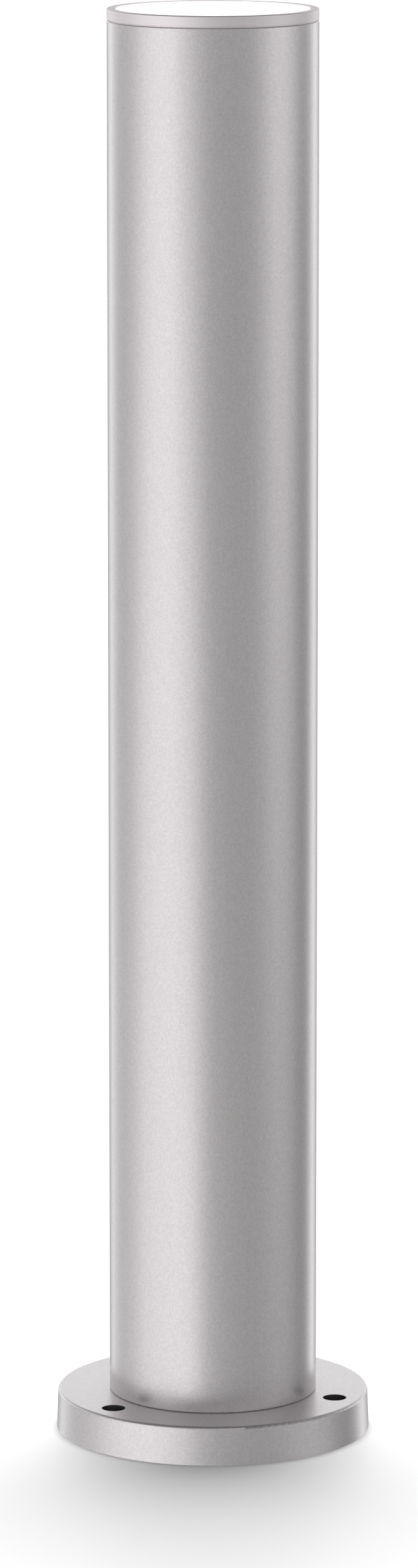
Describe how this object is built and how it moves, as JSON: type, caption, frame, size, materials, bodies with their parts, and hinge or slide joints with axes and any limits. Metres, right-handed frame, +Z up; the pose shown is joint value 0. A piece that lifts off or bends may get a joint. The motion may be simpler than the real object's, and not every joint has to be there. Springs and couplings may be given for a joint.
{
  "type": "bollard light",
  "caption": "Straight round bollard light: a silver-grey tube on a flanged foot, with a flush opal lens in a ring at its top.",
  "frame": {"origin": "centre of the flange's underside, on the ground", "axes": "+Z up along the tube's axis; the front faces -Y, with the lock screw at the back"},
  "size_m": [0.1212, 0.1212, 0.55],
  "materials": {
    "silver_lacquer": "fine metallic silver-grey lacquer, satin, on aluminium",
    "satin_anodised": "turned aluminium, satin anodised, silver",
    "raw_aluminium": "bare die-cast and folded aluminium",
    "stainless": "stainless steel fasteners",
    "brass": "bare brass",
    "black_rubber": "EPDM rubber, matte",
    "clear_silicone": "translucent silicone",
    "black_nylon": "moulded nylon",
    "opal_acrylic": "opal acrylic, lit from behind",
    "white_nylon": "moulded white polyamide",
    "white_resist": "white solder resist on an aluminium-core board",
    "phosphor": "yellow phosphor over the LED dies",
    "thermal_pad": "grey gap pad",
    "red_pvc": "PVC lead insulation, red and black pair",
    "brown_pvc": "PVC lead insulation, brown and blue pair",
    "green_yellow_pvc": "PVC lead insulation, green with a yellow stripe"
  },
  "bodies": {
    "post": {"base_flange": "silver_lacquer", "base_gasket": "black_rubber", "base_screws": "stainless", "post_tube": "silver_lacquer", "gland_body": "black_nylon", "gland_washer": "black_rubber", "gland_locknut": "black_nylon", "gland_seal": "black_rubber", "earth_stud": "brass", "earth_washer": "stainless", "earth_nut": "brass"},
    "head": {"top_ring": "satin_anodised", "lens_seal": "clear_silicone", "top_lens": "opal_acrylic", "head_carrier": "raw_aluminium", "head_oring": "black_rubber", "ring_screws": "stainless", "thermal_pad": "thermal_pad", "led_board": "white_resist", "led_chips": "phosphor", "board_screws": "stainless", "board_connector": "white_nylon", "reflector_ring": "white_nylon", "lead_grommet": "black_rubber", "heat_sink": "raw_aluminium", "sink_screws": "stainless", "gear_tray": "raw_aluminium", "tray_screws": "stainless", "driver": "white_nylon", "driver_screws": "stainless", "terminal_block": "white_nylon", "terminal_screws": "brass", "terminal_fixings": "stainless", "cable_clamp": "black_nylon", "clamp_screws": "stainless", "led_leads": "red_pvc", "mains_leads": "brown_pvc", "earth_lead": "green_yellow_pvc", "earth_lug": "brass"},
    "clamping_nut": {"gland_nut": "black_nylon"},
    "lock": {"lock_screw": "stainless"}
  },
  "joints": [
    {"name": "head_lift", "type": "slide", "parent": "post", "child": "head", "axis": [0, 0, 1], "range_m": [0, 0.3]},
    {"name": "gland_nut_turn", "type": "hinge", "parent": "post", "child": "clamping_nut", "pos_m": [0, 0, 0.013], "axis": [0, 0, 1], "continuous": true},
    {"name": "lock_screw_turn", "type": "hinge", "parent": "post", "child": "lock", "pos_m": [0, 0.0375, 0.526], "axis": [0, 1, 0], "continuous": true}
  ]
}
